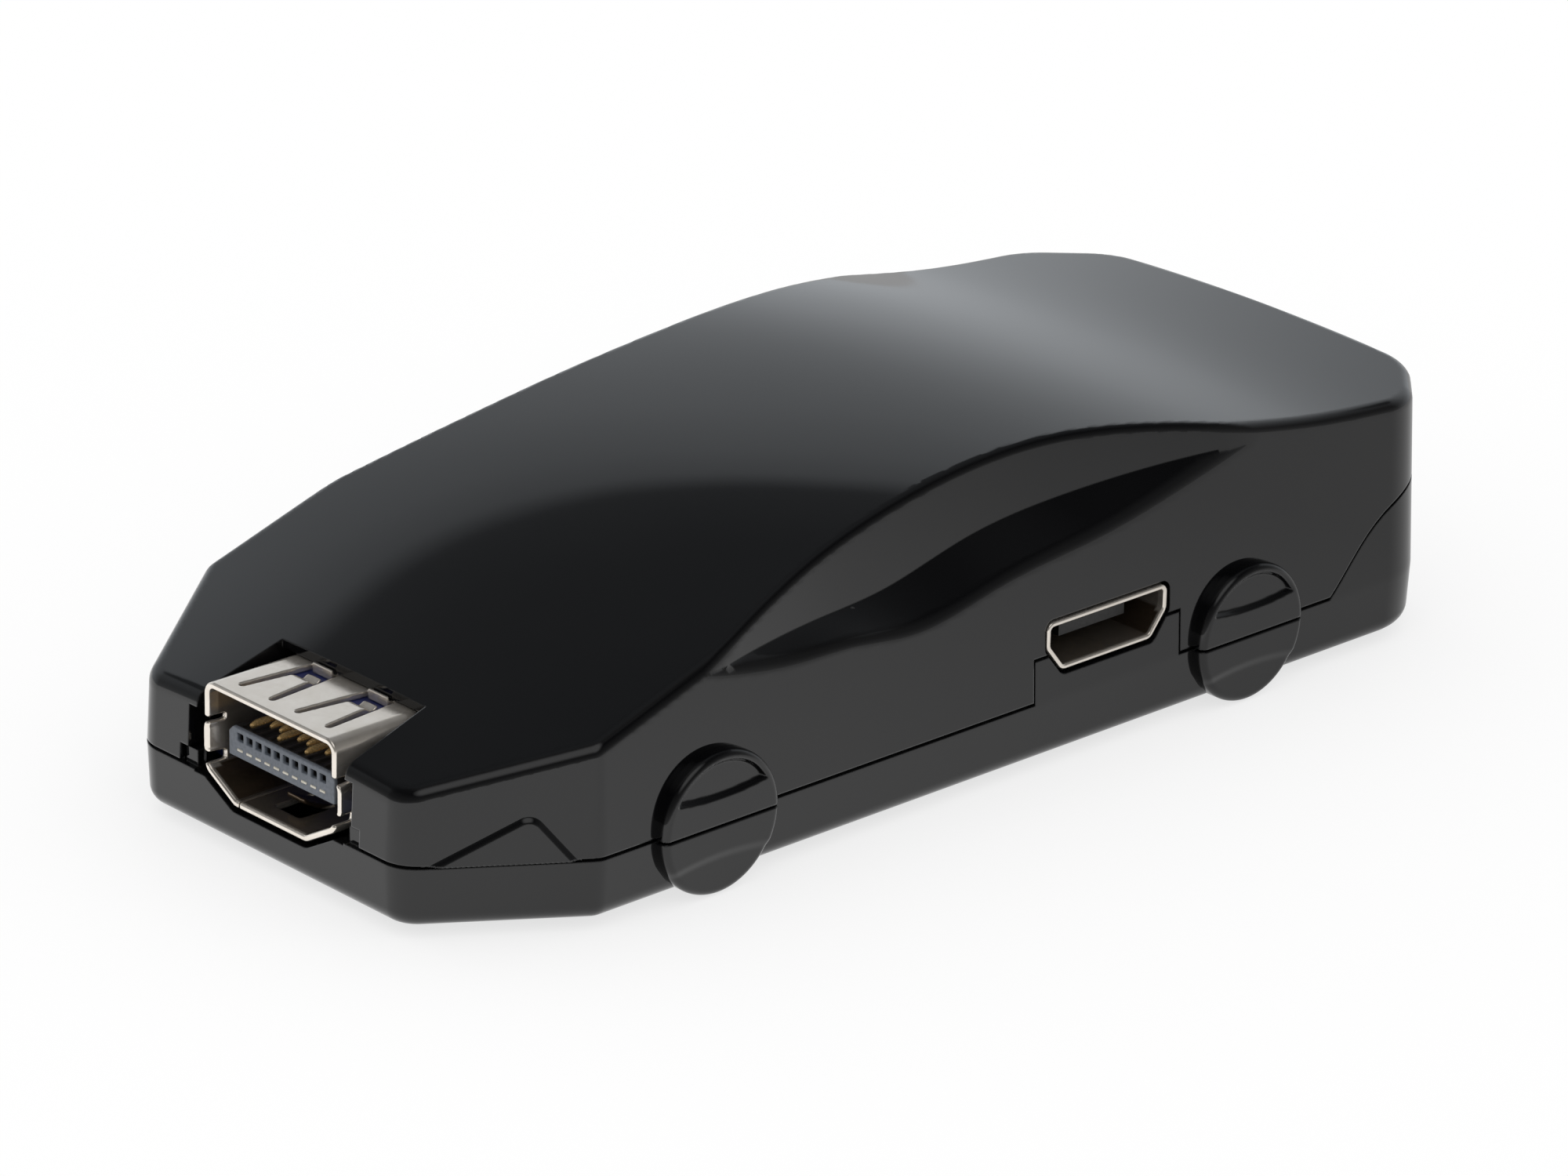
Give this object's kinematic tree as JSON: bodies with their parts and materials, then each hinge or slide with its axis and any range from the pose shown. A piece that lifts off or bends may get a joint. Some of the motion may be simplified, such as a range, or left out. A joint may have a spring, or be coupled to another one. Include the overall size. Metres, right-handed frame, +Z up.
{
  "type": "video signal converter",
  "caption": "Pocket video converter in a glossy car-shaped housing, with a mini video socket in its nose, a wide video socket in its tail and a small power socket in its flank.",
  "frame": {"origin": "centre of the bounding box's bottom, on the surface that the four moulded wheels stand on", "axes": "+X from the nose with the mini socket to the tail with the wide socket, +Y to the flank with no socket, +Z up"},
  "size_m": [0.059, 0.0272, 0.0146],
  "materials": {
    "housing_plastic": "polished black moulding",
    "board_laminate": "dark blue solder mask",
    "socket_nickel": "nickel plated sheet",
    "grey_insulator": "blue grey moulding",
    "black_insulator": "matt black moulding",
    "contact_gold": "gold flashed strip",
    "chip_resin": "matt moulding resin",
    "solder_tin": "tinned",
    "crystal_lid": "welded lid",
    "ferrite": "sintered grey",
    "capacitor_ceramic": "tan ceramic",
    "fuse_ceramic": "green ceramic",
    "resistor_film": "black film on ceramic"
  },
  "bodies": {
    "root": {"upper_shell": "housing_plastic", "lower_shell": "housing_plastic", "main_board": "board_laminate", "mini_socket_shell": "socket_nickel", "mini_insulator": "grey_insulator", "mini_upper_contacts": "contact_gold", "mini_lower_contacts": "contact_gold", "wide_socket_shell": "socket_nickel", "wide_insulator": "black_insulator", "wide_upper_contacts": "contact_gold", "wide_lower_contacts": "contact_gold", "power_socket_shell": "socket_nickel", "power_insulator": "black_insulator", "power_contacts": "contact_gold", "converter_chip": "chip_resin", "converter_pads": "solder_tin", "firmware_chip": "chip_resin", "firmware_leads": "solder_tin", "supply_regulator": "chip_resin", "regulator_leads": "solder_tin", "level_shifters": "chip_resin", "shifter_leads": "solder_tin", "crystal": "crystal_lid", "power_coil": "ferrite", "bulk_capacitors": "capacitor_ceramic", "input_fuse": "fuse_ceramic", "ferrite_beads": "ferrite", "coupling_capacitors": "capacitor_ceramic", "decoupling_capacitors": "capacitor_ceramic", "chip_resistors": "resistor_film", "surge_arrays": "chip_resin"}
  },
  "joints": []
}
